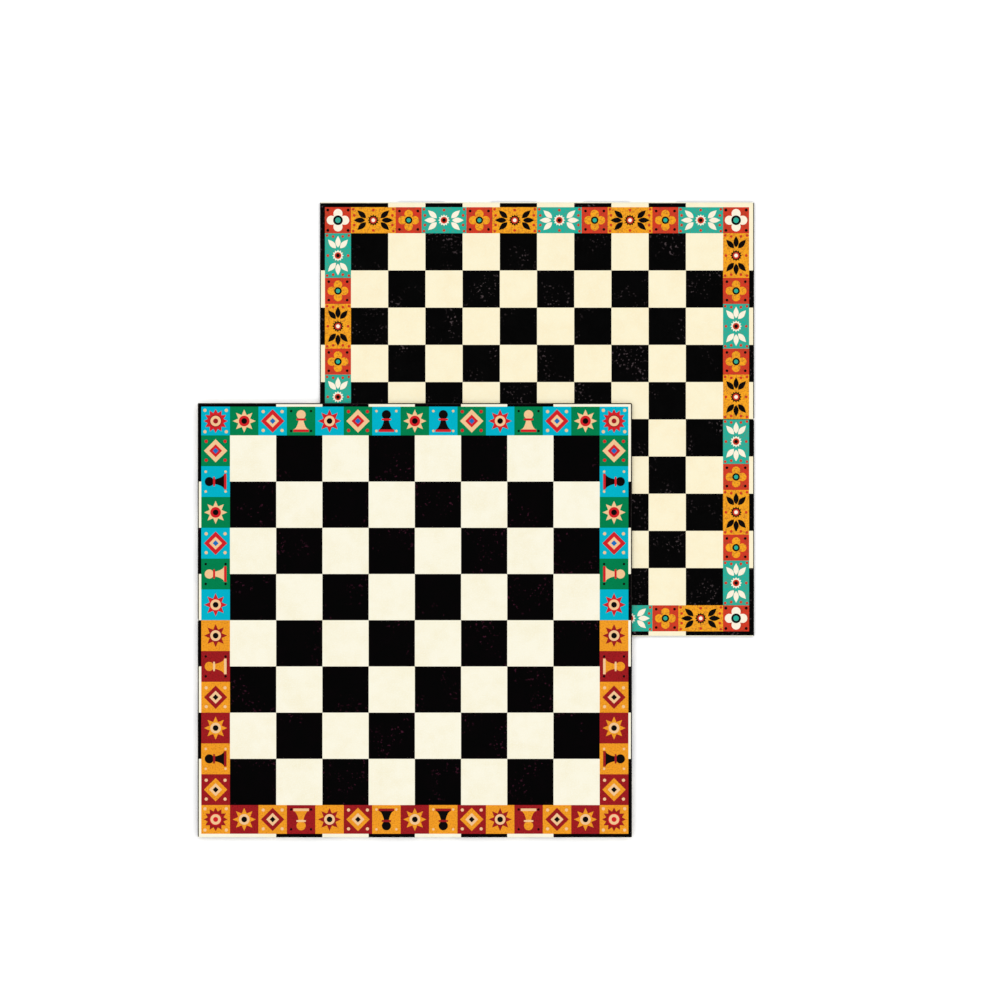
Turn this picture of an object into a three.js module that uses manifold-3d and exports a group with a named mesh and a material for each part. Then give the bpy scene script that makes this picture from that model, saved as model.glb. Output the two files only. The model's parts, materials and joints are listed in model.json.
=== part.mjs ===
// Reversible folding game board: chess on one face, checkers on the other. Two boards of one build lie as
// a pair, the upper one chess side up and the lower one turned over with its checkers side up.
// Millimetres, +Z up. The origin is on the table, under the middle of the pair.
import * as THREE from "three";
import { mergeVertices } from "three/addons/utils/BufferGeometryUtils.js";
import Module from "manifold-3d";

// Driving dimensions
const BOARD_SIDE = 350; // outer side of the open, square board
const CORE_THICKNESS = 2; // greyboard panel
const SHEET_THICKNESS = 0.25; // printed and varnished paper
const CLOTH_THICKNESS = 0.2; // linen tape along the fold
const CLOTH_WIDTH = 24; // of that tape, across the fold
const GLUE_FILM = 0.05; // between any two glued layers
const FOLD_GAP = 0.4; // between the two leaves of an open board
const CREASE_WIDTH = 2; // stretch of the chess sheet that bends in the fold
const TURN_IN = 14; // how far the chess sheet is turned over onto the other face
const CHECKERS_MARGIN = 0.7; // the checkers sheet stops this far inside the edge
const CLOTH_END_MARGIN = 1.5; // the cloth stops this far inside the wrapped edges
const STACK_GAP = 0.1; // air between the lower board and the upper one that lies on it
const PAIR_SHIFT_X = 98.5; // the upper board lies this far to the left of the lower one
const PAIR_SHIFT_Y = 162; // and this far towards the viewer

// Levels of one board, from the checkers face at zero up to the chess face
const CORE_BOTTOM = SHEET_THICKNESS + GLUE_FILM;
const CORE_TOP = CORE_BOTTOM + CORE_THICKNESS;
const CHESS_SHEET_BOTTOM = CORE_TOP + GLUE_FILM;
const BOARD_THICKNESS = CHESS_SHEET_BOTTOM + SHEET_THICKNESS;

// Half sizes of one board, from its middle
const HALF_BOARD = BOARD_SIDE / 2;
const HALF_INSIDE = HALF_BOARD - SHEET_THICKNESS; // inner face of the wrapped edge
const HALF_CORE = HALF_INSIDE - GLUE_FILM;
const HALF_CHECKERS = HALF_BOARD - CHECKERS_MARGIN;
const HALF_WINDOW = HALF_BOARD - TURN_IN; // inner edge of the turned-in flaps
const HALF_GAP = FOLD_GAP / 2;
const HALF_CREASE = CREASE_WIDTH / 2;
const HALF_CLOTH = CLOTH_WIDTH / 2;

const OVERCUT = 1; // how far a cutting block runs past the face that it opens

const GREYBOARD = material(0x9a8d7b, 0.95);
const CHESS_PAPER = material(0xf8f3dc, 0.5);
const CHECKERS_PAPER = material(0xfef1d3, 0.5);
const LINEN = material(0x2b2724, 0.9);

const wasm = await Module();
wasm.setup();

function material(color, roughness) {
  return new THREE.MeshStandardMaterial({ color, roughness, metalness: 0 });
}

// A box between two opposite corners.
function block([x0, y0, z0], [x1, y1, z1]) {
  const box = new THREE.BoxGeometry(x1 - x0, y1 - y0, z1 - z0);
  return box.translate((x0 + x1) / 2, (y0 + y1) / 2, (z0 + z1) / 2);
}

function toSolid(geometry) {
  const bare = geometry.clone();
  bare.deleteAttribute("normal");
  bare.deleteAttribute("uv");
  const merged = mergeVertices(bare);
  return new wasm.Manifold(
    new wasm.Mesh({
      numProp: 3,
      vertProperties: merged.attributes.position.array,
      triVerts: new Uint32Array(merged.index.array),
    }),
  );
}

// The first geometry with all the others cut away.
function cut(base, ...tools) {
  const solid = tools.reduce((left, tool) => left.subtract(toSolid(tool)), toSolid(base));
  const mesh = solid.getMesh();
  const made = new THREE.BufferGeometry();
  made.setAttribute("position", new THREE.BufferAttribute(mesh.vertProperties, 3));
  made.setIndex(new THREE.BufferAttribute(mesh.triVerts, 1));
  made.computeVertexNormals();
  return made;
}

function piece(name, geometry, look) {
  const mesh = new THREE.Mesh(geometry, look);
  mesh.name = name;
  return mesh;
}

// Greyboard panel of one leaf. A step round its three outer edges takes the turned-in flaps, and a step
// along the fold takes half of the hinge cloth.
function coreGeometry() {
  const flapCeiling = CORE_BOTTOM + SHEET_THICKNESS + GLUE_FILM;
  const flapInner = HALF_WINDOW - GLUE_FILM;
  const clothFloor = CORE_TOP - CLOTH_THICKNESS - GLUE_FILM;
  const panel = block([-HALF_CORE, HALF_GAP, CORE_BOTTOM], [HALF_CORE, HALF_CORE, CORE_TOP]);
  const flapStep = (x0, y0, x1, y1) =>
    block([x0, y0, CORE_BOTTOM - OVERCUT], [x1, y1, flapCeiling]);
  const pastEdge = HALF_CORE + OVERCUT;
  const beforeFold = HALF_GAP - OVERCUT;
  return cut(
    panel,
    flapStep(-pastEdge, flapInner, pastEdge, pastEdge),
    flapStep(-pastEdge, beforeFold, -flapInner, pastEdge),
    flapStep(flapInner, beforeFold, pastEdge, pastEdge),
    block([-pastEdge, beforeFold, clothFloor], [pastEdge, HALF_CLOTH + GLUE_FILM, CORE_TOP + OVERCUT]),
  );
}

// Chess sheet on one leaf: its face, the three edges that it wraps and the flaps turned in behind.
function chessSheetGeometry() {
  const foldSide = HALF_CREASE - OVERCUT;
  return cut(
    block([-HALF_BOARD, HALF_CREASE, CORE_BOTTOM], [HALF_BOARD, HALF_BOARD, BOARD_THICKNESS]),
    block(
      [-HALF_INSIDE, foldSide, CORE_BOTTOM + SHEET_THICKNESS],
      [HALF_INSIDE, HALF_INSIDE, CHESS_SHEET_BOTTOM],
    ),
    block(
      [-HALF_WINDOW, foldSide, CORE_BOTTOM - OVERCUT],
      [HALF_WINDOW, HALF_WINDOW, CORE_BOTTOM + OVERCUT],
    ),
  );
}

// The narrow stretch of the chess sheet that bends when the board folds.
function creaseGeometry() {
  return block(
    [-HALF_BOARD, -HALF_CREASE, CHESS_SHEET_BOTTOM],
    [HALF_BOARD, HALF_CREASE, BOARD_THICKNESS],
  );
}

// Checkers sheet on one leaf. It is cut through at the fold and lies over the turned-in flaps.
function checkersSheetGeometry() {
  return block([-HALF_CHECKERS, HALF_GAP, 0], [HALF_CHECKERS, HALF_CHECKERS, SHEET_THICKNESS]);
}

// Linen tape under the chess sheet, glued to both panels across the fold.
function hingeClothGeometry() {
  const halfLength = HALF_CORE - CLOTH_END_MARGIN;
  return block(
    [-halfLength, -HALF_CLOTH, CORE_TOP - CLOTH_THICKNESS],
    [halfLength, HALF_CLOTH, CORE_TOP],
  );
}

// One leaf, modelled on the +Y side of the fold.
function leaf(name) {
  const group = new THREE.Group();
  group.add(
    piece(`${name}_core`, coreGeometry(), GREYBOARD),
    piece(`${name}_chess_sheet`, chessSheetGeometry(), CHESS_PAPER),
    piece(`${name}_checkers_sheet`, checkersSheetGeometry(), CHECKERS_PAPER),
  );
  return group;
}

// One board, chess side up, with its fold along X. The folding leaf is the fixed leaf turned half round.
function board(name) {
  const group = new THREE.Group();
  const foldingLeaf = leaf(`${name}_folding`);
  foldingLeaf.rotation.z = Math.PI;
  group.add(
    leaf(`${name}_fixed`),
    foldingLeaf,
    piece(`${name}_chess_sheet_crease`, creaseGeometry(), CHESS_PAPER),
    piece(`${name}_hinge_cloth`, hingeClothGeometry(), LINEN),
  );
  return group;
}

const lowerBoard = board("lower");
lowerBoard.rotation.x = Math.PI;
lowerBoard.position.set(PAIR_SHIFT_X / 2, PAIR_SHIFT_Y / 2, BOARD_THICKNESS);

const upperBoard = board("upper");
upperBoard.position.set(-PAIR_SHIFT_X / 2, -PAIR_SHIFT_Y / 2, BOARD_THICKNESS + STACK_GAP);

const boardPair = new THREE.Group();
boardPair.add(lowerBoard, upperBoard);

export default boardPair;
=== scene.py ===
# %% [markdown]
# # A folding board for chess and checkers
# The object is a pair of equal folding boards. Each has a chess face and a checkers face, printed on
# paper and glued to two greyboard panels. The CAD frame gives the panels, sheets and folds. This lesson
# dresses them: the printed faces, their borders, the wrapped edges, the crease and the linen that holds
# the leaves.

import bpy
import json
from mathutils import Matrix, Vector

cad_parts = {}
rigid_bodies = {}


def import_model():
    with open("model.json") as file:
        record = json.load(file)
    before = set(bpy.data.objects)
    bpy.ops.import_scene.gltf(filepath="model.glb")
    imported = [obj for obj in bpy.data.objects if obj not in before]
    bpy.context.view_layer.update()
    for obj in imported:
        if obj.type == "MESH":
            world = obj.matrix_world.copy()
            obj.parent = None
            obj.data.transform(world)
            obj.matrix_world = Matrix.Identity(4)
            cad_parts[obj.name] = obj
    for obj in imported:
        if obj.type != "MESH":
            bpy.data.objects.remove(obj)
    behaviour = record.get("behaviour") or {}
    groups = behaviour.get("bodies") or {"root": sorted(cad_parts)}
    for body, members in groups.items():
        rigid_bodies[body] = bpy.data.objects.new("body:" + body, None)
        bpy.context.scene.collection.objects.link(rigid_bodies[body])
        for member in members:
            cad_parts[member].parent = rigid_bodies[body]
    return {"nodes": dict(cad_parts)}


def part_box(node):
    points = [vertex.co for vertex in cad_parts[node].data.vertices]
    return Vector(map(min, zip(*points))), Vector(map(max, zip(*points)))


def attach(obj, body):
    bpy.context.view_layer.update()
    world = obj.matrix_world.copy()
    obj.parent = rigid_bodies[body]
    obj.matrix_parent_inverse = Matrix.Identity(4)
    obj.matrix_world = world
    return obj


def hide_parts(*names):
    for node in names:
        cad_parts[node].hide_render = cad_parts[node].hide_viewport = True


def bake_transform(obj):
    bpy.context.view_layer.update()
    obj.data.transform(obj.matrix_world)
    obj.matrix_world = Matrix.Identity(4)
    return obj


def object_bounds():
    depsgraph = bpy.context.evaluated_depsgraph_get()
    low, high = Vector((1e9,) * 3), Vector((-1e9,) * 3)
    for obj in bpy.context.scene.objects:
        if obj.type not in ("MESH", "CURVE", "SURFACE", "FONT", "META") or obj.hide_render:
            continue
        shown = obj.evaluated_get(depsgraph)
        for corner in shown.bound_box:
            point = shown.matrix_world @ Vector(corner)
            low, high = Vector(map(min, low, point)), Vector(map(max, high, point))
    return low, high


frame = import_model()
cad_low, cad_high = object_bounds()

# %% Other modules
import json
from math import atan2, cos, floor, pi, radians, sin

import bmesh
import bpy
from mathutils import Matrix

MM = 0.001  # metres in a millimetre

# %% [markdown]
# ## Camera
# The photograph looks straight down and shows no perspective, so the camera stands far off with a long
# lens. The width that it sees comes from the known side of a board and the share of the picture that this
# side fills.

# %% Camera
PICTURE_PIXELS = 1000
BOARD_PIXELS = 434.2  # a board's side in the picture
PICTURE_MIDDLE = (19.4 * MM, 15.9 * MM)  # where the middle of the picture falls on the table
CAMERA_HEIGHT = 9.0

sheet_low, sheet_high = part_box("upper_fixed_chess_sheet")
BOARD = sheet_high.x - sheet_low.x
bpy.ops.object.camera_add(location=(*PICTURE_MIDDLE, CAMERA_HEIGHT), rotation=(0, 0, 0))
camera = bpy.context.object
seen_width = BOARD * PICTURE_PIXELS / BOARD_PIXELS
camera.data.lens = camera.data.sensor_width * (CAMERA_HEIGHT - sheet_high.z) / seen_width
bpy.context.scene.camera = camera
print("camera sees", round(seen_width, 4), "m with a lens of", round(camera.data.lens), "mm")

# %% [markdown]
# ## Studio
# The picture is bright and almost without shadow, on white. A white sky gives most of the light, and a
# few wide suns give the paper a little shape. The Standard view keeps the printed colours as they are
# mixed.

# %% Floor
FLOOR_SIDE = 40.0
FLOOR_DROP = 0.2 * MM  # keeps the floor off the underside, so that the two faces don't coincide
FLOOR_WHITE = (0.97, 0.97, 0.97, 1)

bpy.ops.mesh.primitive_plane_add(size=FLOOR_SIDE, location=(0, 0, cad_low.z - FLOOR_DROP))
floor_plane = bpy.context.object
floor_plane.name = "studio_floor"
floor_look = bpy.data.materials.new("studio_white")
floor_look.use_nodes = True
floor_shader = floor_look.node_tree.nodes["Principled BSDF"]
floor_shader.inputs["Base Color"].default_value = FLOOR_WHITE
floor_shader.inputs["Roughness"].default_value = 0.9
floor_shader.inputs["Specular IOR Level"].default_value = 0.0
floor_plane.data.materials.append(floor_look)
print("floor at", round(floor_plane.location.z * 1000, 2), "mm")

# %% Light
SKY_STRENGTH = 0.7
SUNS = (  # azimuth and height in degrees, strength
    (125, 62, 0.7),
    (35, 50, 0.4),
    (-55, 50, 0.4),
    (-145, 50, 0.4),
)
LIGHT_LEVEL = SKY_STRENGTH + sum(strength * sin(radians(height)) for _, height, strength in SUNS) / pi
SUN_WIDTH = radians(50)

world = bpy.data.worlds.new("studio_sky")
bpy.context.scene.world = world
world.use_nodes = True
sky = world.node_tree.nodes["Background"]
sky.inputs["Color"].default_value = (1, 1, 1, 1)
sky.inputs["Strength"].default_value = SKY_STRENGTH
for azimuth, height, strength in SUNS:
    bpy.ops.object.light_add(type="SUN", rotation=(0, radians(90 - height), radians(azimuth)))
    sun = bpy.context.object.data
    sun.energy = strength
    sun.angle = SUN_WIDTH
view = bpy.context.scene.view_settings
view.view_transform = "Standard"
view.look = "None"
print("light on a level white face:", round(LIGHT_LEVEL, 3))

# %% [markdown]
# ## Printed paper
# All the printed faces are one stock: paper with ink and a thin satin varnish. What changes is the ink.
# So one function mixes every ink: a base colour, a soft mottle as of uneven inking, a fine grain where
# the paper shows through, and sparse flecks in clusters. The surface is a paper tooth under varnish.

# %% Node helpers
def srgb(red, green, blue):
    """The surface colour that looks like this one, from 0 to 255, in the studio's light."""
    parts = [value / 255 for value in (red, green, blue)]
    linear = [p / 12.92 if p <= 0.04045 else ((p + 0.055) / 1.055) ** 2.4 for p in parts]
    return (*(part / LIGHT_LEVEL for part in linear), 1.0)


def add_node(tree, kind, **values):
    """A new node with some of its input sockets set."""
    node = tree.nodes.new(kind)
    for socket, value in values.items():
        node.inputs[socket.replace("_", " ")].default_value = value
    return node


def noise(tree, place, scale, detail, roughness=0.5):
    """A noise of so many waves to the metre, as a value near one half."""
    node = add_node(tree, "ShaderNodeTexNoise", Scale=scale, Detail=detail, Roughness=roughness)
    tree.links.new(place, node.inputs["Vector"])
    return node.outputs["Fac"]


def remap(tree, value, low, high, to_low=0.0, to_high=1.0):
    """The stretch of a value from low to high, spread over another one and clamped there."""
    node = add_node(tree, "ShaderNodeMapRange", From_Min=low, From_Max=high, To_Min=to_low, To_Max=to_high)
    tree.links.new(value, node.inputs["Value"])
    return node.outputs["Result"]


def product(tree, first, second):
    """The product of two values."""
    node = tree.nodes.new("ShaderNodeMath")
    node.operation = "MULTIPLY"
    tree.links.new(first, node.inputs[0])
    tree.links.new(second, node.inputs[1])
    return node.outputs["Value"]


def tint(tree, share, below, above):
    """Mixes the colour below with the colour above by a share. Either is a socket or a plain colour."""
    node = tree.nodes.new("ShaderNodeMix")
    node.data_type = "RGBA"
    tree.links.new(share, node.inputs["Factor"])
    for socket, colour in ((node.inputs[6], below), (node.inputs[7], above)):
        if isinstance(colour, tuple):
            socket.default_value = colour
        else:
            tree.links.new(colour, socket)
    return node.outputs[2]


def bump(tree, height, strength, distance):
    """A normal that follows a height."""
    node = add_node(tree, "ShaderNodeBump", Strength=strength, Distance=distance)
    tree.links.new(height, node.inputs["Height"])
    return node.outputs["Normal"]


def new_look(name):
    """An empty material with its shader and its Object coordinates."""
    look = bpy.data.materials.new(name)
    look.use_nodes = True
    tree = look.node_tree
    place = tree.nodes.new("ShaderNodeTexCoord").outputs["Object"]
    return look, tree, tree.nodes["Principled BSDF"], place


print("node helpers ready")

# %% Ink on paper
MOTTLE_WAVES = 70  # to the metre, so about 14 mm across
GRAIN_WAVES = 950  # about 1 mm across
FLECK_WAVES = 480
CLUSTER_WAVES = 42
TOOTH_WAVES = 2600
SATIN = 0.014  # specular level of the thin varnish


def ink(name, colour, mottle, grain, grain_most, fleck=None, fleck_from=0.66, cluster_from=0.52):
    """Printed paper in one ink. Mottle and grain are colours that it drifts to, and fleck shows in spots."""
    look, tree, shader, place = new_look(name)
    drift = remap(tree, noise(tree, place, MOTTLE_WAVES, 4.0, 0.62), 0.4, 0.68)
    shade = tint(tree, drift, colour, mottle)
    fine = noise(tree, place, GRAIN_WAVES, 2.0, 0.6)
    shade = tint(tree, remap(tree, fine, 0.46, 0.72, 0.0, grain_most), shade, grain)
    if fleck:
        spots = remap(tree, noise(tree, place, FLECK_WAVES, 1.5), fleck_from, fleck_from + 0.09)
        clusters = remap(tree, noise(tree, place, CLUSTER_WAVES, 2.0), cluster_from, cluster_from + 0.12)
        shade = tint(tree, product(tree, spots, clusters), shade, fleck)
    tree.links.new(shade, shader.inputs["Base Color"])
    tree.links.new(remap(tree, fine, 0.3, 0.7, 0.44, 0.58), shader.inputs["Roughness"])
    shader.inputs["Specular IOR Level"].default_value = SATIN
    tooth = noise(tree, place, TOOTH_WAVES, 3.0, 0.6)
    tree.links.new(bump(tree, tooth, 0.12, 0.05 * MM), shader.inputs["Normal"])
    return look


print("ink mixer ready")

# %% [markdown]
# The squares are cream and black on both faces, with the cream a little warmer on the checkers face. The
# blacks are worn by a few flecks, wine red on one face and ash grey on the other. The borders use strong
# flat colours with a coarse, dusty grain.

# %% Inks
CREAM_CHESS = ink("chess_cream", srgb(252, 247, 225), srgb(248, 241, 213), srgb(254, 252, 237), 0.7)
BLACK_CHESS = ink(
    "chess_black", srgb(1, 1, 1), srgb(3, 1, 2), srgb(7, 4, 5), 0.5, srgb(62, 23, 40), 0.635, 0.5
)
CREAM_CHECKERS = ink("checkers_cream", srgb(254, 244, 210), srgb(252, 239, 202), srgb(254, 248, 222), 0.6)
BLACK_CHECKERS = ink(
    "checkers_black", srgb(1, 1, 1), srgb(3, 3, 3), srgb(9, 7, 7), 0.5, srgb(74, 63, 65), 0.61, 0.5
)


def border_ink(name, colour, grain, grain_most=0.5):
    """A strong border colour: it drifts a little towards its grain, and the grain is coarse."""
    drift = tuple(0.86 * part + 0.14 * other for part, other in zip(colour, grain))
    return ink(name, colour, drift, grain, grain_most)


TURQUOISE = border_ink("turquoise", srgb(0, 181, 203), srgb(0, 156, 184))
GREEN = border_ink("green", srgb(0, 130, 78), srgb(0, 104, 60))
AMBER = border_ink("amber", srgb(249, 162, 37), srgb(188, 112, 32), 0.8)
WINE = border_ink("wine", srgb(164, 28, 33), srgb(104, 22, 22), 0.85)
SCARLET = border_ink("scarlet", srgb(214, 34, 40), srgb(176, 26, 32))
PEACH = border_ink("peach", srgb(244, 201, 151), srgb(234, 176, 120))
BLUE = border_ink("blue", srgb(32, 112, 190), srgb(24, 88, 160))
SOOT = border_ink("soot", srgb(8, 6, 6), srgb(30, 20, 20))
ORANGE = border_ink("orange", srgb(254, 171, 34), srgb(176, 106, 40), 1.0)
BRICK = border_ink("brick", srgb(219, 57, 36), srgb(140, 70, 46), 0.9)
TEAL = border_ink("teal", srgb(22, 179, 158), srgb(94, 146, 118), 0.9)
IVORY = border_ink("ivory", srgb(254, 246, 226), srgb(246, 226, 190))
EDGE = border_ink("wrapped_edge", srgb(14, 12, 12), srgb(64, 58, 54), 0.45)
RAW_PAPER = ink("raw_paper", srgb(236, 232, 222), srgb(224, 219, 207), srgb(244, 241, 234), 0.6)
print("inks:", len([m for m in bpy.data.materials if m.use_nodes]) - 1)

# %% [markdown]
# ## Greyboard and linen
# The panels are pressed grey paper: dull, fibrous, in thin layers that show on the raw edge at the fold.
# The linen is a plain weave, dark, and seen only in the slit and when a board is folded. It bends, so its
# threads follow a flat map of the cloth and not the space that it lies in.

# %% Greyboard
FIBRE_WAVES = 260
CRUMB_WAVES = 1500
LAYER_SQUEEZE = 22.0  # the fibres lie flat, so the pattern is this much finer from layer to layer

look, tree, shader, place = new_look("greyboard")
layers = add_node(tree, "ShaderNodeMapping", Scale=(1.0, 1.0, LAYER_SQUEEZE))
tree.links.new(place, layers.inputs["Vector"])
fibres = noise(tree, layers.outputs["Vector"], FIBRE_WAVES, 5.0, 0.7)
shade = tint(tree, remap(tree, fibres, 0.35, 0.68), srgb(134, 124, 110), srgb(168, 157, 140))
crumbs = noise(tree, place, CRUMB_WAVES, 2.0)
shade = tint(tree, remap(tree, crumbs, 0.62, 0.7), shade, srgb(94, 86, 78))
tree.links.new(shade, shader.inputs["Base Color"])
shader.inputs["Roughness"].default_value = 0.93
shader.inputs["Specular IOR Level"].default_value = 0.1
tree.links.new(bump(tree, fibres, 0.5, 0.12 * MM), shader.inputs["Normal"])
GREYBOARD = look
print("greyboard mixed")

# %% Linen
THREAD = 0.55 * MM  # from one thread to the next


def weave_wave(tree, place, direction):
    """Threads that lie side by side along one direction of the cloth."""
    wave = add_node(tree, "ShaderNodeTexWave", Scale=pi / (10 * THREAD), Distortion=0.6, Detail=1.0)
    wave.bands_direction = direction
    tree.links.new(place, wave.inputs["Vector"])
    return wave.outputs["Fac"]


look, tree, shader, _ = new_look("linen")
weave_map = tree.nodes.new("ShaderNodeUVMap")
weave_map.uv_map = "weave"
place = weave_map.outputs["UV"]
threads = product(tree, weave_wave(tree, place, "X"), weave_wave(tree, place, "Y"))
shade = tint(tree, remap(tree, threads, 0.05, 0.7), srgb(24, 21, 20), srgb(62, 56, 52))
tree.links.new(shade, shader.inputs["Base Color"])
shader.inputs["Roughness"].default_value = 0.88
shader.inputs["Sheen Weight"].default_value = 0.2
tree.links.new(bump(tree, threads, 0.6, 0.1 * MM), shader.inputs["Normal"])
LINEN = look
print("linen mixed")

# %% [markdown]
# ## Sizes of a board
# The board is modelled once, lying at the origin with its chess face up, and copied twice at the end. Its
# levels come from the CAD boxes. The print has its own sizes: the field of squares, the border band and
# the thin rim.

# %% Sizes
checkers_low, checkers_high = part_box("upper_fixed_checkers_sheet")
cloth_low, cloth_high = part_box("upper_hinge_cloth")
BASE = checkers_low.z
THICKNESS = sheet_high.z - BASE
PAPER = checkers_high.z - checkers_low.z
FLAP_LEVEL = sheet_low.z - BASE  # underside of the turned-in flaps
CLOTH_LEVEL = (cloth_low.z - BASE, cloth_high.z - BASE)
CLOTH_SIZE = (cloth_high.x - cloth_low.x, cloth_high.y - cloth_low.y)
HALF = BOARD / 2
HALF_CHECKERS = (checkers_high.x - checkers_low.x) / 2
FOLD_MIDDLE = (cloth_low.y + cloth_high.y) / 2
HALF_SLIT = checkers_low.y - FOLD_MIDDLE
HALF_CREASE = sheet_low.y - FOLD_MIDDLE
FLAP = 14 * MM

EDGE_ROUND = 0.5 * MM  # the paper's bend round the panel's edge
FLAT_HALF = HALF - EDGE_ROUND
DARK_EDGE_FROM = FLAT_HALF - 0.35 * MM  # outside this, three sides of the chess face are dark
CHESS_SQUARES = 8
CHESS_SQUARE = 37.25 * MM
CHESS_RIM = 2.85 * MM
CHECKERS_SQUARES = 10
CHECKERS_SQUARE = 30 * MM
CHECKERS_RIM = 4 * MM
CHESS_FIELD = CHESS_SQUARES * CHESS_SQUARE / 2
CHECKERS_FIELD = CHECKERS_SQUARES * CHECKERS_SQUARE / 2
CHESS_BAND_END = HALF - CHESS_RIM
CHECKERS_BAND_END = HALF - CHECKERS_RIM
print("thickness", round(THICKNESS / MM, 3), "mm, paper", round(PAPER / MM, 3), "mm")
print("half slit", round(HALF_SLIT / MM, 3), "mm, half crease", round(HALF_CREASE / MM, 3), "mm")

# %% [markdown]
# ## Helpers for flat work
# A printed face starts as a plane. It is cut along straight lines with Bisect, as with a ruler and a
# knife, and each part then gets its ink. Bisect cuts only what is selected, so a band can be cut without
# its neighbours.

# %% Flat helpers
HAIR = 0.001 * MM  # a length too short to matter


def clear_selection():
    """Leaves edit mode and selects nothing."""
    if bpy.context.object and bpy.context.object.mode != "OBJECT":
        bpy.ops.object.mode_set(mode="OBJECT")
    bpy.ops.object.select_all(action="DESELECT")


def make_active(piece):
    """Selects one piece and nothing else."""
    clear_selection()
    piece.select_set(True)
    bpy.context.view_layer.objects.active = piece


def edit(piece, mode):
    """Opens a piece in edit mode with nothing selected, and returns its mesh for selecting."""
    make_active(piece)
    bpy.ops.object.mode_set(mode="EDIT")
    bpy.ops.mesh.select_mode(type=mode)
    bpy.ops.mesh.select_all(action="DESELECT")
    return bmesh.from_edit_mesh(piece.data)


def cut_lines(piece, axis, places, wanted=None):
    """Cuts a flat piece across X (0) or Y (1) at each place, where a face's middle is wanted."""
    for at in places:
        mesh = edit(piece, "FACE")
        for face in mesh.faces:
            face.select_set(wanted is None or wanted(face.calc_center_median()))
        bmesh.update_edit_mesh(piece.data)
        point, normal = [0, 0, 0], [0, 0, 0]
        point[axis] = at
        normal[axis] = 1
        bpy.ops.mesh.bisect(plane_co=point, plane_no=normal, threshold=HAIR)
    bpy.ops.object.mode_set(mode="OBJECT")


def round_corners(piece, radius):
    """Rounds the four corners of a plane by bevelling its vertices."""
    mesh = edit(piece, "VERT")
    for vertex in mesh.verts:
        vertex.select_set(True)
    bmesh.update_edit_mesh(piece.data)
    bpy.ops.mesh.bevel(offset=radius, segments=4, affect="VERTICES")
    bpy.ops.object.mode_set(mode="OBJECT")


def paint(piece, inks, choose):
    """Gives each face the ink that choose names for its middle."""
    piece.data.materials.clear()
    for colour in inks:
        piece.data.materials.append(colour)
    for face in piece.data.polygons:
        face.material_index = inks.index(choose(face.center.x, face.center.y))


def thicken(piece, thickness, offset, inside=None):
    """Gives a flat piece its thickness. The back and the cut edges may get a material of their own."""
    make_active(piece)
    modifier = piece.modifiers.new("thickness", "SOLIDIFY")
    modifier.thickness = thickness
    modifier.offset = offset
    modifier.use_even_offset = True
    if inside:
        piece.data.materials.append(inside)
        modifier.material_offset = len(piece.data.materials)
        modifier.material_offset_rim = len(piece.data.materials)
    bpy.ops.object.modifier_apply(modifier=modifier.name)


print("flat helpers ready")

# %% [markdown]
# ## The print of a face
# A face is a field of squares inside a border band inside a thin rim. The rim is blocked like the field:
# on the chess face each block is the opposite of the square beside it, and on the checkers face it is the
# same.

# %% Squares and rim
def cell(place, square, count):
    """Which square of a row a place falls in. A place outside the field counts as the nearest."""
    return min(count - 1, max(0, floor(place / square + count / 2)))


def is_dark(x, y, square, count):
    """True on the dark squares, counted from the left and from the top, with the first one light."""
    return (cell(x, square, count) + count - 1 - cell(y, square, count)) % 2 == 1


def panel_number(along, ends):
    """Which panel of a band a place along it falls in."""
    return sum(1 for end in ends if along > end)


def square_lines(square, count):
    """Where a row of so many squares starts, is cut and ends."""
    return [(number - count / 2) * square for number in range(count + 1)]


print("chess lines (mm):", [round(line / MM, 2) for line in square_lines(CHESS_SQUARE, CHESS_SQUARES)])

# %% [markdown]
# The chess band is cut into near-square panels of two colours that take turns, cool ones on the far half
# and warm ones on the near half. The far and near sides have an odd number, so that both ends match. The
# left and right sides have an even number, so that no panel lies on the fold.

# %% Chess band
CHESS_ROW_PANELS = 13
CHESS_SIDE_PANELS = 12


def even_ends(half_length, count):
    """Where a band of so many equal panels is cut, without its two ends."""
    return [half_length * (2 * number / count - 1) for number in range(1, count)]


CHESS_ROW_ENDS = even_ends(CHESS_FIELD, CHESS_ROW_PANELS)
CHESS_SIDE_ENDS = even_ends(CHESS_FIELD, CHESS_SIDE_PANELS)
COOL = (GREEN, TURQUOISE)
WARM = (WINE, AMBER)


def chess_band_ink(x, y):
    """The two inks of a half take turns along each side. A corner has the second one."""
    pair = COOL if y > 0 else WARM
    if min(abs(x), abs(y)) > CHESS_FIELD:
        return pair[1]
    if abs(y) > abs(x):
        return pair[panel_number(x, CHESS_ROW_ENDS) % 2]
    from_corner = panel_number(-abs(y), CHESS_SIDE_ENDS)
    return pair[from_corner % 2]


def chess_ink(x, y):
    """The ink of the chess face at a place."""
    reach = max(abs(x), abs(y))
    dark = is_dark(x, y, CHESS_SQUARE, CHESS_SQUARES)
    if reach < CHESS_FIELD:
        return BLACK_CHESS if dark else CREAM_CHESS
    if reach < CHESS_BAND_END:
        return chess_band_ink(x, y)
    if max(abs(x), y) > DARK_EDGE_FROM:
        return EDGE
    return CREAM_CHESS if dark else BLACK_CHESS


print("chess panels:", CHESS_ROW_PANELS, "along each row side and", CHESS_SIDE_PANELS, "up each other side")

# %% [markdown]
# ## The chess sheet
# It is one sheet of paper. It covers both panels, bends in the fold, wraps round the outer edges and is
# turned in behind. So it is modelled as it is made: a flat plane is cut and inked, its rim is extruded
# round the edge in small steps and then inwards as flaps, and the paper gets its thickness last. At the
# fold the edge isn't wrapped, because a flap there would stop the board from folding.

# %% Chess sheet, flat and inked
CORNER_ROUND = 0.9 * MM
BEND = 0.4 * MM  # half the stretch of paper that turns when the board folds

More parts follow.
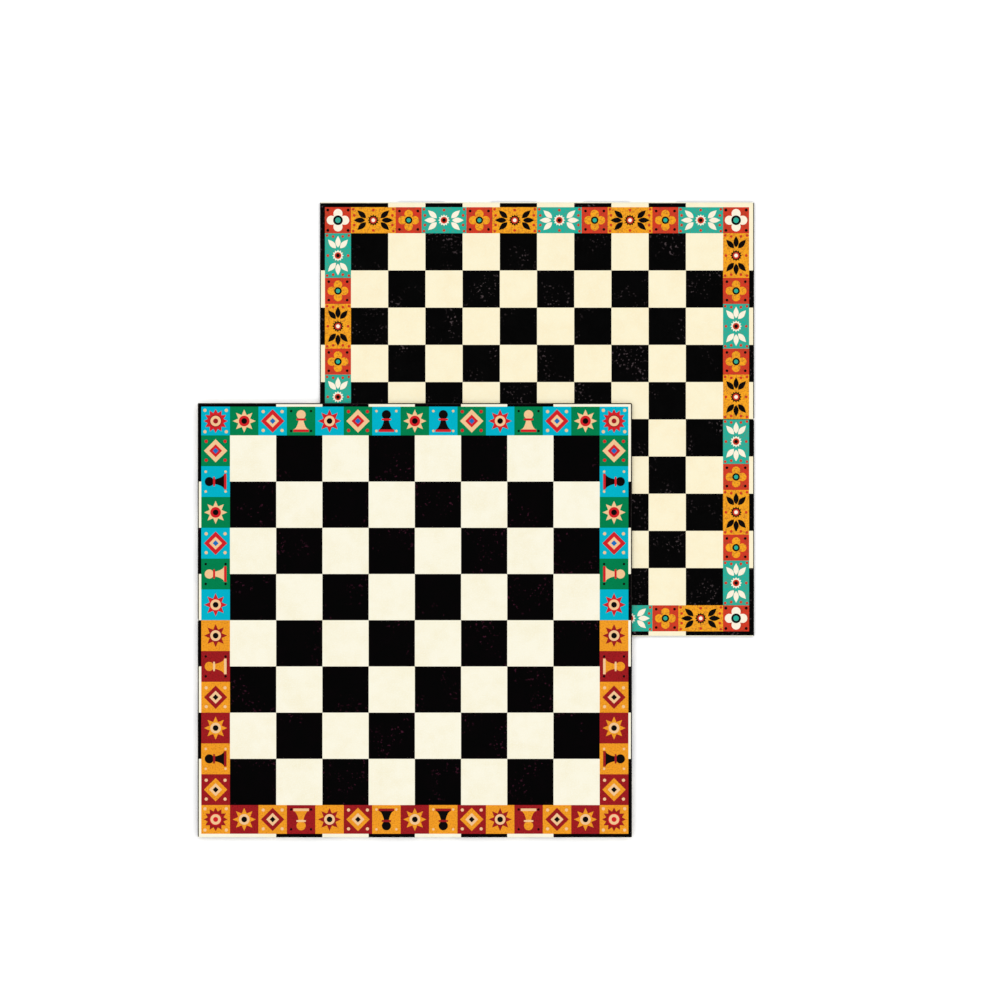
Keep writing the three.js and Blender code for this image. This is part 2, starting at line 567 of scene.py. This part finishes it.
bpy.ops.mesh.primitive_plane_add(size=2 * FLAT_HALF, location=(0, 0, 0))
chess_sheet = bpy.context.object
chess_sheet.name = "chess_print"
round_corners(chess_sheet, CORNER_ROUND)
print_lines = square_lines(CHESS_SQUARE, CHESS_SQUARES) + [-CHESS_BAND_END, CHESS_BAND_END]
bend_lines = [BEND * share for share in (-1, -0.5, -0.25, 0.25, 0.5, 1)]
fold_lines = [-HALF_CREASE, *bend_lines, HALF_CREASE]
cut_lines(chess_sheet, 0, [*print_lines, -DARK_EDGE_FROM, DARK_EDGE_FROM])
cut_lines(chess_sheet, 1, [*print_lines, DARK_EDGE_FROM, *fold_lines])


def band_sides(along, field, end):
    """A test for the two sides of a band that run along X (0) or Y (1), by a face's middle."""

    def wanted(middle):
        return abs(middle[along]) < field < abs(middle[1 - along]) < end

    return wanted


cut_lines(chess_sheet, 0, CHESS_ROW_ENDS, band_sides(0, CHESS_FIELD, CHESS_BAND_END))
cut_lines(chess_sheet, 1, CHESS_SIDE_ENDS, band_sides(1, CHESS_FIELD, CHESS_BAND_END))
CHESS_INKS = [CREAM_CHESS, BLACK_CHESS, TURQUOISE, GREEN, AMBER, WINE, EDGE]
paint(chess_sheet, CHESS_INKS, chess_ink)
print("chess face:", len(chess_sheet.data.polygons), "inked parts")

# %% [markdown]
# The wrap is a chain of rings. Each ring is extruded from the last one, lowered, and scaled to its reach
# from the middle of the board. The first three turn the paper over the edge, the next ones turn it under,
# and the last one is the flap. Three sides of the chess face are dark in a narrow strip at the edge, and
# so are these edges. On the near side the blocks of the rim run on over the edge.

# %% Chess sheet, wrapped edges
WRAP_DEPTH = THICKNESS - FLAP_LEVEL
ARC = (0.134, 0.5)  # how far a quarter circle has come at 30 and 60 degrees
wrap = [
    (HALF - EDGE_ROUND * (1 - ARC[1]), -EDGE_ROUND * ARC[0]),
    (HALF - EDGE_ROUND * ARC[0], -EDGE_ROUND * ARC[1]),
    (HALF, -EDGE_ROUND),
    (HALF, EDGE_ROUND - WRAP_DEPTH),
    (HALF - EDGE_ROUND * ARC[0], EDGE_ROUND * ARC[1] - WRAP_DEPTH),
    (HALF - EDGE_ROUND * (1 - ARC[1]), EDGE_ROUND * ARC[0] - WRAP_DEPTH),
    (HALF - EDGE_ROUND, -WRAP_DEPTH),
    (HALF - FLAP, -WRAP_DEPTH),
]
mesh = edit(chess_sheet, "EDGE")
for edge in mesh.edges:
    middle = (edge.verts[0].co + edge.verts[1].co) / 2
    edge.select_set(edge.is_boundary and abs(middle.y) > HALF_CREASE)
bmesh.update_edit_mesh(chess_sheet.data)
reach, level = FLAT_HALF, 0.0
for next_reach, next_level in wrap:
    bpy.ops.mesh.extrude_edges_move(TRANSFORM_OT_translate={"value": (0, 0, next_level - level)})
    share = next_reach / reach
    bpy.ops.transform.resize(value=(share, share, 1), center_override=(0, 0, next_level))
    reach, level = next_reach, next_level
bpy.ops.object.mode_set(mode="OBJECT")


def wrap_ink(place):
    """Dark at the edges, but the rim runs on over the near one. The far and near flaps are cream."""
    if abs(place.x) > abs(place.y):
        return EDGE
    if place.z < EDGE_ROUND - WRAP_DEPTH:
        return CREAM_CHESS
    if place.y > 0:
        return EDGE
    return CREAM_CHESS if is_dark(place.x, place.y, CHESS_SQUARE, CHESS_SQUARES) else BLACK_CHESS


for face in chess_sheet.data.polygons:
    if face.center.z < -HAIR:
        face.material_index = CHESS_INKS.index(wrap_ink(face.center))
print("wrapped sheet:", len(chess_sheet.data.polygons), "faces,", round(WRAP_DEPTH / MM, 2), "mm deep")

# %% [markdown]
# A folded sheet keeps a crease. The middle line is pressed in a little before the paper gets its
# thickness, so the crease is in the shape and not only in the shading. A flat map of the sheet, laid out
# as it was before wrapping, goes with it for anyone who wants to paint it.

# %% Chess sheet, crease, map and thickness
CREASE_DEPTH = 0.04 * MM
MAP_MARGIN = 1 * MM
MAP_REACH = FLAT_HALF + WRAP_DEPTH + FLAP + MAP_MARGIN

mesh = edit(chess_sheet, "VERT")
for vertex in mesh.verts:
    vertex.select_set(abs(vertex.co.y) < HAIR and vertex.co.z > -HAIR)
bmesh.update_edit_mesh(chess_sheet.data)
bpy.ops.transform.translate(value=(0, 0, -CREASE_DEPTH))
bpy.ops.object.mode_set(mode="OBJECT")


def unwrapped(point, side):
    """Where a point lay before the sheet was wrapped. Side is the axis that its face wraps round."""
    place = [point.x, point.y]
    if side is None:
        return place
    beyond = -point.z
    if point.z < EDGE_ROUND - WRAP_DEPTH:
        beyond = WRAP_DEPTH + HALF - max(abs(point.x), abs(point.y))
    place[side] = (FLAT_HALF + beyond) * (1 if place[side] > 0 else -1)
    other = 1 - side
    place[other] = max(-FLAT_HALF, min(FLAT_HALF, place[other]))
    return place


def lay_flat_map(piece, reach, wrapped=False):
    """A flat UV map named OFBake."""
    layer = piece.data.uv_layers.new(name="OFBake")
    for face in piece.data.polygons:
        side = None
        if wrapped and face.center.z < -HAIR and abs(face.center.y) > HALF_CREASE:
            side = 0 if abs(face.center.x) > abs(face.center.y) else 1
        for loop in face.loop_indices:
            point = piece.data.vertices[piece.data.loops[loop].vertex_index].co
            u, v = unwrapped(point, side)
            layer.data[loop].uv = (0.5 + u / (2 * reach), 0.5 + v / (2 * reach))


lay_flat_map(chess_sheet, MAP_REACH, wrapped=True)
thicken(chess_sheet, PAPER, -1, RAW_PAPER)
chess_sheet.data.transform(Matrix.Translation((0, 0, THICKNESS)))
print("chess sheet:", len(chess_sheet.data.polygons), "faces, crease", CREASE_DEPTH / MM, "mm deep")

# %% [markdown]
# ## The checkers sheet
# The other face is a plain sheet laid over the flaps, just inside the edge. It is cut right through at
# the fold. Its band has long panels and short ones in turn, with two long ones side by side at the
# middle, so that the slit runs between them.

# %% Checkers band
LONG_PANEL = 36 * MM
SHORT_PANEL = 21 * MM
HALF_RUN = (LONG_PANEL, SHORT_PANEL, LONG_PANEL, SHORT_PANEL, LONG_PANEL)
FULL_RUN = HALF_RUN + HALF_RUN
CHECKERS_RUN_INKS = (ORANGE, BRICK, TEAL, BRICK, ORANGE, TEAL, BRICK, ORANGE, BRICK, TEAL)

checkers_ends = []
end = -CHECKERS_FIELD
for length in FULL_RUN[:-1]:
    end += length
    checkers_ends.append(end)


def run_along(x, y):
    """The place along a side of the band, going round the board the same way on every side."""
    if abs(y) > abs(x):
        return x if y > 0 else -x
    return -y if x > 0 else y


def checkers_ink(x, y):
    """The ink of the checkers face at a place."""
    reach = max(abs(x), abs(y))
    dark = not is_dark(x, y, CHECKERS_SQUARE, CHECKERS_SQUARES)
    if CHECKERS_FIELD < reach < CHECKERS_BAND_END:
        if min(abs(x), abs(y)) > CHECKERS_FIELD:
            return BRICK
        return CHECKERS_RUN_INKS[panel_number(run_along(x, y), checkers_ends)]
    return BLACK_CHECKERS if dark else CREAM_CHECKERS


print("checkers panel ends (mm):", [round(end / MM, 1) for end in checkers_ends])

# %% Checkers sheet
bpy.ops.mesh.primitive_plane_add(size=2 * HALF_CHECKERS, location=(0, 0, 0))
checkers_sheet = bpy.context.object
checkers_sheet.name = "checkers_print_folding"
round_corners(checkers_sheet, CORNER_ROUND)
print_lines = square_lines(CHECKERS_SQUARE, CHECKERS_SQUARES) + [-CHECKERS_BAND_END, CHECKERS_BAND_END]
cut_lines(checkers_sheet, 0, print_lines)
cut_lines(checkers_sheet, 1, [*print_lines, -HALF_SLIT, HALF_SLIT])
cut_lines(checkers_sheet, 0, checkers_ends, band_sides(0, CHECKERS_FIELD, CHECKERS_BAND_END))
cut_lines(checkers_sheet, 1, checkers_ends, band_sides(1, CHECKERS_FIELD, CHECKERS_BAND_END))
paint(checkers_sheet, [CREAM_CHECKERS, BLACK_CHECKERS, ORANGE, BRICK, TEAL], checkers_ink)
lay_flat_map(checkers_sheet, HALF)
print("checkers face:", len(checkers_sheet.data.polygons), "inked parts")

# %% [markdown]
# The slit is made by deleting the narrow strip between its two lines. The near half is then separated,
# and each half gets the thickness of the paper. The far half, seen from this face, goes with the leaf
# that folds.

# %% Checkers sheet, slit and halves
mesh = edit(checkers_sheet, "FACE")
for face in mesh.faces:
    face.select_set(abs(face.calc_center_median().y) < HALF_SLIT)
bmesh.update_edit_mesh(checkers_sheet.data)
bpy.ops.mesh.delete(type="FACE")
mesh = bmesh.from_edit_mesh(checkers_sheet.data)
for face in mesh.faces:
    face.select_set(face.calc_center_median().y < 0)
bmesh.update_edit_mesh(checkers_sheet.data)
before = set(bpy.data.objects)
bpy.ops.mesh.separate(type="SELECTED")
bpy.ops.object.mode_set(mode="OBJECT")
(checkers_near,) = set(bpy.data.objects) - before
checkers_near.name = "checkers_print_fixed"
for half in (checkers_sheet, checkers_near):
    thicken(half, PAPER, -1, RAW_PAPER)
    print(half.name, len(half.data.polygons), "faces")

# %% [markdown]
# ## Border motifs
# The border figures are printed ornaments: suns, stars, lozenges, pawns, flowers and leaf sprigs. Each is
# modelled as a thin film of ink. Two ways make them all. A round motif grows from a filled circle: its
# rim is extruded into rings, and the rings' points are scaled in or out to make petals and rays. An
# upright motif grows from a strip that is extruded upwards and widened or narrowed at each step, like
# turning a shape on a lathe.

# %% Round motifs
INK_FILM = 0.03 * MM
ROUND_POINTS = 48  # points of a round motif's rim
DOT_POINTS = 20


def start_motif(piece, name, inks):
    """Names a new motif and gives it its inks."""
    piece.name = name
    piece.data.materials.clear()
    for colour in inks:
        piece.data.materials.append(colour)
    return piece


def ring_motif(name, points, rings):
    """A round motif with so many points on its rim.

    Each ring has radii in millimetres, which its points take in turn, and an ink.
    """
    clear_selection()
    radius = rings[0][0][0] * MM
    bpy.ops.mesh.primitive_circle_add(vertices=points, radius=radius, fill_type="NGON")
    inks = list(dict.fromkeys(colour for _, colour in rings))
    piece = start_motif(bpy.context.object, name, inks)
    for face in piece.data.polygons:
        face.material_index = inks.index(rings[0][1])
    for radii, colour in rings[1:]:
        mesh = edit(piece, "EDGE")
        known = len(mesh.faces)
        for edge in mesh.edges:
            edge.select_set(edge.is_boundary)
        bmesh.update_edit_mesh(piece.data)
        bpy.ops.mesh.extrude_edges_move()
        mesh = bmesh.from_edit_mesh(piece.data)
        mesh.faces.ensure_lookup_table()
        for face in mesh.faces[known:]:
            face.material_index = inks.index(colour)
        scale_rim(piece, points, radii)
        bpy.ops.object.mode_set(mode="OBJECT")
    return piece


def scale_rim(piece, points, radii):
    """Scales the points of the open rim to their radii, one class of points at a time."""
    bpy.ops.mesh.select_mode(type="VERT")
    for turn, radius in enumerate(radii):
        bpy.ops.mesh.select_all(action="DESELECT")
        mesh = bmesh.from_edit_mesh(piece.data)
        now = 0.0
        for vertex in mesh.verts:
            number = round(atan2(-vertex.co.x, vertex.co.y) / (2 * pi) * points) % points
            if vertex.is_boundary and number % len(radii) == turn:
                vertex.select_set(True)
                now = vertex.co.length
        bmesh.update_edit_mesh(piece.data)
        share = radius * MM / now
        bpy.ops.transform.resize(value=(share, share, 1), center_override=(0, 0, 0))


def rays(count, tip, valley):
    """The reaches of so many straight-sided rays, for the points from one tip to the next."""
    half_turn = pi / count
    ray_points = ROUND_POINTS // count
    reaches = []
    for point in range(ray_points):
        turn = half_turn * min(point, ray_points - point) / (ray_points / 2)
        reaches.append(tip * valley * sin(half_turn) / (tip * sin(turn) + valley * sin(half_turn - turn)))
    return reaches


print("round motifs ready")

# %% Upright motifs
def strip_motif(name, first, steps):
    """An upright motif, in millimetres.

    First is its foot, a height and a half width. Each step is a height, a half width and an ink.
    """
    clear_selection()
    bpy.ops.mesh.primitive_plane_add(size=2 * MM)
    inks = list(dict.fromkeys(colour for _, _, colour in steps))
    piece = start_motif(bpy.context.object, name, inks)
    for vertex in piece.data.vertices:
        height, width, _ = (*first, None) if vertex.co.y < 0 else steps[0]
        vertex.co = (width * MM * (1 if vertex.co.x > 0 else -1), height * MM, 0)
    piece.data.polygons[0].material_index = inks.index(steps[0][2])
    height, width, _ = steps[0]
    for next_height, next_width, colour in steps[1:]:
        mesh = edit(piece, "EDGE")
        known = len(mesh.faces)
        top = max(vertex.co.y for vertex in mesh.verts)
        for edge in mesh.edges:
            edge.select_set(all(abs(vertex.co.y - top) < HAIR for vertex in edge.verts))
        bmesh.update_edit_mesh(piece.data)
        rise = (next_height - height) * MM
        bpy.ops.mesh.extrude_edges_move(TRANSFORM_OT_translate={"value": (0, rise, 0)})
        bpy.ops.transform.resize(value=(next_width / width, 1, 1), center_override=(0, 0, 0))
        mesh = bmesh.from_edit_mesh(piece.data)
        mesh.faces.ensure_lookup_table()
        for face in mesh.faces[known:]:
            face.material_index = inks.index(colour)
        bpy.ops.object.mode_set(mode="OBJECT")
        height, width = next_height, next_width
    return piece


def join_pieces(name, pieces):
    """Joins pieces into the first one, with their places applied."""
    clear_selection()
    for piece in pieces:
        piece.select_set(True)
    bpy.context.view_layer.objects.active = pieces[0]
    bpy.ops.object.transform_apply(location=True, rotation=True, scale=True)
    if len(pieces) > 1:
        bpy.ops.object.join()
    pieces[0].name = name
    return pieces[0]


def copy_of(piece, x, y, turn=0.0):
    """A copy with its own mesh, moved and turned about Z. The place is in millimetres."""
    made = piece.copy()
    made.data = piece.data.copy()
    bpy.context.scene.collection.objects.link(made)
    made.location = (x * MM, y * MM, 0)
    made.rotation_euler = (0, 0, turn)
    return made


def face_up(piece):
    """Turns a flat piece's faces so that they look up."""
    edit(piece, "FACE")
    bpy.ops.mesh.select_all(action="SELECT")
    bpy.ops.mesh.normals_make_consistent(inside=False)
    mesh = bmesh.from_edit_mesh(piece.data)
    if sum(face.normal.z for face in mesh.faces) < 0:
        bpy.ops.mesh.flip_normals()
    bpy.ops.object.mode_set(mode="OBJECT")


print("upright motifs ready")

# %% [markdown]
# Each motif has three inks: one for its body, one for its trim and one for its heart. Which inks they are
# depends on the panel that it lies on, so a motif is a function of its inks.

# %% Chess motifs
def star_motif(body, trim, heart):
    rings = [((2.3,), heart), ((4.3,), trim), (rays(8, 9.3, 5.2), body)]
    return ring_motif("star", ROUND_POINTS, rings)


def dots_round(piece, reach, radius, colour):
    """Four small dots towards the corners of a panel."""
    dot = ring_motif("dot", DOT_POINTS, [((radius * 0.55,), colour), ((radius,), colour)])
    dots = [copy_of(dot, x * reach, y * reach) for x in (-1, 1) for y in (-1, 1)]
    bpy.data.objects.remove(dot)
    return join_pieces(piece.name, [piece, *dots])


def lozenge_motif(body, trim, heart):
    rings = [((2.4,), heart), ((5.2,), trim), ((9.4,), body)]
    return dots_round(ring_motif("lozenge", 4, rings), 7.6, 1.3, trim)


PAWN_FOOT = (-8.8, 6.3)
PAWN_LOWER = (
    (-6.8, 6.3),
    (-6.5, 5.3),
    (-5.9, 4.6),
    (-5.1, 4.0),
    (-4.2, 3.5),
    (-3.2, 3.05),
    (-2.0, 2.6),
    (-0.8, 2.25),
    (0.4, 2.0),
)
PAWN_COLLAR = ((0.7, 3.8), (1.9, 3.8), (2.1, 2.0))
PAWN_HEAD_MIDDLE, PAWN_HEAD_RADIUS = 5.1, 3.7
PAWN_HEAD_STEPS = (-0.72, -0.55, -0.35, -0.12, 0.12, 0.35, 0.55, 0.72, 0.85, 0.94, 0.985, 0.999)


def pawn_motif(body, trim, heart):
    """A pawn: foot, flared body, collar and round head."""
    steps = [(*PAWN_LOWER[0], trim)]
    steps += [(height, width, body) for height, width in PAWN_LOWER[1:]]
    steps += [(height, width, trim) for height, width in PAWN_COLLAR]
    for share in PAWN_HEAD_STEPS:
        width = PAWN_HEAD_RADIUS * (1 - share * share) ** 0.5
        steps.append((PAWN_HEAD_MIDDLE + PAWN_HEAD_RADIUS * share, width, body))
    return dots_round(strip_motif("pawn", PAWN_FOOT, steps), 8.0, 1.0, heart)


def sun_motif(body, trim, heart):
    rings = [((2.0,), heart), ((4.2,), trim), ((5.0,), heart), (rays(12, 9.6, 6.6), body)]
    return dots_round(ring_motif("sun", ROUND_POINTS, rings), 8.6, 1.3, trim)


print("chess motifs ready")

# %% [markdown]
# The checkers band carries plainer folk ornaments: a sprig of leaves about a flower on each long panel,
# and a four-petalled flower on each short one.

# %% Checkers motifs
LEAF_LENGTH, LEAF_WIDTH = 9.2, 2.1
LEAF_STEPS = 12
LEAF_ANGLES = (48, 90, 132)  # from the way across the panel
LEAF_FAN = (4.0, 2.6)  # a fan's middle from the flower's, and each leaf's foot from the fan's middle
TIP_PLACES = ((0, 8.2), (15.4, 3.9), (16.2, 8.8))
PETAL_LOBES = 4
PETAL_POINTS = 12  # to each lobe


def lobes(lobe_middle, lobe_radius, waist):
    """The reach of a ring of round lobes, for the points from one lobe's tip to the next one's."""
    reaches = []
    for point in range(PETAL_POINTS):
        turn = 2 * pi / PETAL_LOBES * min(point, PETAL_POINTS - point) / PETAL_POINTS
        inside = lobe_radius ** 2 - (lobe_middle * sin(turn)) ** 2
        reaches.append(lobe_middle * cos(turn) + inside ** 0.5 if inside > 0 else waist)
    return reaches


def leaf_motif(colour):
    """One pointed leaf, with its foot at the origin."""
    steps = []
    for number in range(1, LEAF_STEPS + 1):
        share = number / LEAF_STEPS
        width = max(0.04, sin(pi * share ** 0.85))
        steps.append((LEAF_LENGTH * share, LEAF_WIDTH * width, colour))
    return strip_motif("leaf", (0.0, 0.1), steps)


def sprig_motif(body, trim, heart):
    rings = [((1.5,), heart), ((2.7,), trim), (rays(12, 4.7, 3.4), body)]
    flower = ring_motif("sprig", ROUND_POINTS, rings)
    leaf = leaf_motif(body)
    leaves = []
    for side in (-1, 1):
        for angle in LEAF_ANGLES:
            way = radians(-angle * side)
            x = side * LEAF_FAN[0] - LEAF_FAN[1] * sin(way)
            y = LEAF_FAN[1] * cos(way)
            leaves.append(copy_of(leaf, x, y, way))
    bpy.data.objects.remove(leaf)
    tip = ring_motif("tip", DOT_POINTS, [((0.6,), trim), ((1.1,), trim)])
    corners = {(x * side, y * end) for x, y in TIP_PLACES for side in (-1, 1) for end in (-1, 1)}
    tips = [copy_of(tip, x, y) for x, y in sorted(corners)]
    bpy.data.objects.remove(tip)
    return join_pieces("sprig", [flower, *leaves, *tips])


def flower_motif(body, trim, heart):
    rings = [((1.7,), heart), ((3.0,), trim), (lobes(5.0, 3.4, 3.8), body)]
    return dots_round(ring_motif("flower", PETAL_LOBES * PETAL_POINTS, rings), 7.4, 1.1, trim)


def corner_flower_motif(body, trim, heart):
    rings = [((2.2,), heart), ((3.9,), trim), (lobes(5.4, 3.7, 4.7), body)]
    return dots_round(ring_motif("corner_flower", PETAL_LOBES * PETAL_POINTS, rings), 8.2, 1.2, trim)


print("checkers motifs ready")

# %% [markdown]
# ## Laying out the borders
# Every motif stands with its foot towards the squares and its head to the edge. A chosen motif and set of
# inks is modelled once, and copies are then placed on the panels. All the copies on one leaf are joined,
# turned face up and given the thickness of the ink film.

# %% Layout helpers
CHESS_BAND_MIDDLE = (CHESS_FIELD + CHESS_BAND_END) / 2 / MM
CHECKERS_BAND_MIDDLE = (CHECKERS_FIELD + CHECKERS_BAND_END) / 2 / MM
SIDES = ((0, -1, pi), (1, 0, -pi / 2), (0, 1, 0.0), (-1, 0, pi / 2))  # outward way, and turn of a motif there
models = {}


def motif_model(make, inks):
    """A motif in these inks, modelled when it is first asked for."""
    key = (make.__name__, *(colour.name for colour in inks))
    if key not in models:
        models[key] = make(*inks)
    return models[key]


def panel_middles(ends, half_length):
    """The middles of a side's panels, in millimetres."""
    bounds = [-half_length, *ends, half_length]
    return [(low + high) / 2 / MM for low, high in zip(bounds, bounds[1:])]


def lay_border(name, placed):
    """Joins the placed copies of each leaf into one film. Returns the far one and the near one."""
    films = []
    far = [copy for copy in placed if copy.location.y > 0]
    near = [copy for copy in placed if copy.location.y < 0]
    for copies in (far, near):
        film = join_pieces(name, copies)
        face_up(film)
        thicken(film, INK_FILM, 1)
        lay_flat_map(film, HALF)
        films.append(film)
    return films


print("layout helpers ready")

# %% Chess border
CHESS_MOTIF_INKS = {
    TURQUOISE.name: (SCARLET, PEACH, SOOT),
    GREEN.name: (PEACH, SCARLET, SOOT),
    AMBER.name: (WINE, PEACH, SOOT),
    WINE.name: (AMBER, PEACH, SOOT),
}
ROW_MOTIFS = (star_motif, pawn_motif, lozenge_motif)
SIDE_MOTIFS = (lozenge_motif, pawn_motif, star_motif)

placed = []
for out_x, out_y, turn in SIDES:
    on_row = out_y != 0
    ends = CHESS_ROW_ENDS if on_row else CHESS_SIDE_ENDS
    middles = panel_middles(ends, CHESS_FIELD)
    for number, along in enumerate(middles):
        from_end = min(number, len(middles) - 1 - number)
        from_middle = len(middles) // 2 - from_end
        make = ROW_MOTIFS[from_middle % 3] if on_row else SIDE_MOTIFS[from_end % 3]
        x = along if on_row else out_x * CHESS_BAND_MIDDLE
        y = out_y * CHESS_BAND_MIDDLE if on_row else along
        panel = chess_band_ink(x * MM, y * MM)
        inks = CHESS_MOTIF_INKS[panel.name]
        if make is pawn_motif and panel in (TURQUOISE, AMBER):
            inks = (SOOT, inks[0], PEACH)
        if make is lozenge_motif and panel in COOL:
            inks = (inks[0], inks[1], BLUE)
        placed.append(copy_of(motif_model(make, inks), x, y, turn))
for x in (-1, 1):
    for y in (-1, 1):
        inks = (SCARLET, PEACH, WINE) if y > 0 else (WINE, PEACH, SCARLET)
        placed.append(
            copy_of(motif_model(sun_motif, inks), x * CHESS_BAND_MIDDLE, y * CHESS_BAND_MIDDLE)
        )
print("chess motifs placed:", len(placed))
chess_border_fixed, chess_border_folding = lay_border("chess_border", placed)

# %% Checkers border
CHECKERS_MOTIF_INKS = {
    ORANGE.name: (SOOT, BRICK, IVORY),
    TEAL.name: (IVORY, BRICK, SOOT),
    BRICK.name: (ORANGE, SOOT, TEAL),
}

placed = []
middles = panel_middles(checkers_ends, CHECKERS_FIELD)
for out_x, out_y, turn in SIDES:
    for along in middles:
        x = along if out_y else out_x * CHECKERS_BAND_MIDDLE
        y = out_y * CHECKERS_BAND_MIDDLE if out_y else along
        panel = checkers_ink(x * MM, y * MM)
        make = flower_motif if panel is BRICK else sprig_motif
        model = motif_model(make, CHECKERS_MOTIF_INKS[panel.name])
        placed.append(copy_of(model, x, y, turn))
for x in (-1, 1):
    for y in (-1, 1):
        model = motif_model(corner_flower_motif, (IVORY, SOOT, TEAL))
        placed.append(copy_of(model, x * CHECKERS_BAND_MIDDLE, y * CHECKERS_BAND_MIDDLE))
print("checkers motifs placed:", len(placed))
checkers_border_folding, checkers_border_fixed = lay_border("checkers_border", placed)
for model in models.values():
    bpy.data.objects.remove(model)

# %% [markdown]
# ## Hinge linen
# A tape of woven cloth lies under the chess sheet and holds the two panels together. It is a plane cut
# close about the fold, so that it can bend there, and thickened.

# %% Hinge linen
bpy.ops.mesh.primitive_plane_add(size=1)
linen = bpy.context.object
linen.name = "fold_linen"
make_active(linen)
linen.scale = (CLOTH_SIZE[0], CLOTH_SIZE[1], 1)
bpy.ops.object.transform_apply(location=True, rotation=True, scale=True)
cut_lines(linen, 1, [-2 * BEND, *bend_lines, 0, 2 * BEND])
linen.data.materials.append(LINEN)
weave_layer = linen.data.uv_layers.new(name="weave")
for loop in linen.data.loops:
    weave_layer.data[loop.index].uv = linen.data.vertices[loop.vertex_index].co.xy
thicken(linen, CLOTH_LEVEL[1] - CLOTH_LEVEL[0], -1)
linen.data.transform(Matrix.Translation((0, 0, CLOTH_LEVEL[1])))
print("linen:", round(CLOTH_SIZE[0] / MM, 1), "by", round(CLOTH_SIZE[1] / MM, 1), "mm")

# %% [markdown]
# ## Two boards from one
# The pieces are now one board at the origin. The checkers pieces were modelled face up, so they are
# turned over and put on the underside. Then every piece is copied onto both boards: the upper one as it
# is, the lower one turned over about X. A copy's place is in its mesh, and its object stays at the
# origin.

# %% Move the pieces to their levels
TURN_OVER = Matrix.Rotation(pi, 4, "X")
FILM_SINK = 0.004 * MM  # the film starts just under the paper's face

for film in (chess_border_fixed, chess_border_folding):
    film.data.transform(Matrix.Translation((0, 0, THICKNESS - FILM_SINK)))
for film in (checkers_border_fixed, checkers_border_folding):
    film.data.transform(Matrix.Translation((0, 0, -FILM_SINK)))
for piece in (checkers_sheet, checkers_near, checkers_border_fixed, checkers_border_folding):
    piece.data.transform(TURN_OVER)
print("one board is ready at the origin")

# %% Copies for the two boards
lower_low, lower_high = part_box("lower_fixed_checkers_sheet")
lower_cloth_low, lower_cloth_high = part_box("lower_hinge_cloth")
middle_x = (sheet_low.x + sheet_high.x) / 2
lower_middle_x = (lower_low.x + lower_high.x) / 2
lower_fold = (lower_cloth_low.y + lower_cloth_high.y) / 2
BOARDS = {
    "upper": Matrix.Translation((middle_x, FOLD_MIDDLE, BASE)),
    "lower": Matrix.Translation((lower_middle_x, lower_fold, lower_high.z)) @ TURN_OVER,
}


def board_piece(source, name, board):
    """A copy of a piece in its place on one of the two boards."""
    piece = source.copy()
    piece.data = source.data.copy()
    piece.name = f"{board}_{name}"
    piece.data.name = piece.name
    bpy.context.scene.collection.objects.link(piece)
    piece.data.transform(BOARDS[board])
    return piece


def bend_at_fold(piece):
    """Applies a piece's transform to its mesh."""
    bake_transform(piece)


print("boards at", [tuple(round(v, 4) for v in place.translation) for place in BOARDS.values()])

# %% [markdown]
# The chess sheet and the linen cross the fold, so they are attached to neither leaf. Every other piece
# belongs to one leaf and rides on it. The greyboard panels are right as they come from the CAD and only
# get their material.

# %% Dress both boards
for board in BOARDS:
    sheet = board_piece(chess_sheet, "chess_print", board)
    bend_at_fold(sheet)
    parts = ("fixed_chess_sheet", "chess_sheet_crease", "folding_chess_sheet")
    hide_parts(*(f"{board}_{part}" for part in parts))
    tape = board_piece(linen, "fold_linen", board)
    bend_at_fold(tape)
    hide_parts(f"{board}_hinge_cloth")
    halves = {"fixed": (checkers_near, chess_border_fixed, checkers_border_fixed)}
    halves["folding"] = (checkers_sheet, chess_border_folding, checkers_border_folding)
    for leaf, (face, chess_film, checkers_film) in halves.items():
        half = board_piece(face, f"checkers_print_{leaf}", board)
        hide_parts(f"{board}_{leaf}_checkers_sheet")
        ornaments = board_piece(chess_film, f"chess_border_{leaf}", board)
        others = board_piece(checkers_film, f"checkers_border_{leaf}", board)
        for piece in (half, ornaments, others):
            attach(piece, f"{board}_{leaf}_leaf")
        panel = frame["nodes"][f"{board}_{leaf}_core"]
        panel.data.materials.clear()
        panel.data.materials.append(GREYBOARD)
    print(board, "board dressed")

sources = (chess_sheet, checkers_sheet, checkers_near, linen)
sources += (chess_border_fixed, chess_border_folding, checkers_border_fixed, checkers_border_folding)
for source in sources:
    bpy.data.objects.remove(source)

# %% [markdown]
# ## Sizes and finish
# The box of the CAD frame is printed.

# %% Finish
print("CAD box (mm):", [round((high - low) / MM, 2) for low, high in zip(cad_low, cad_high)])
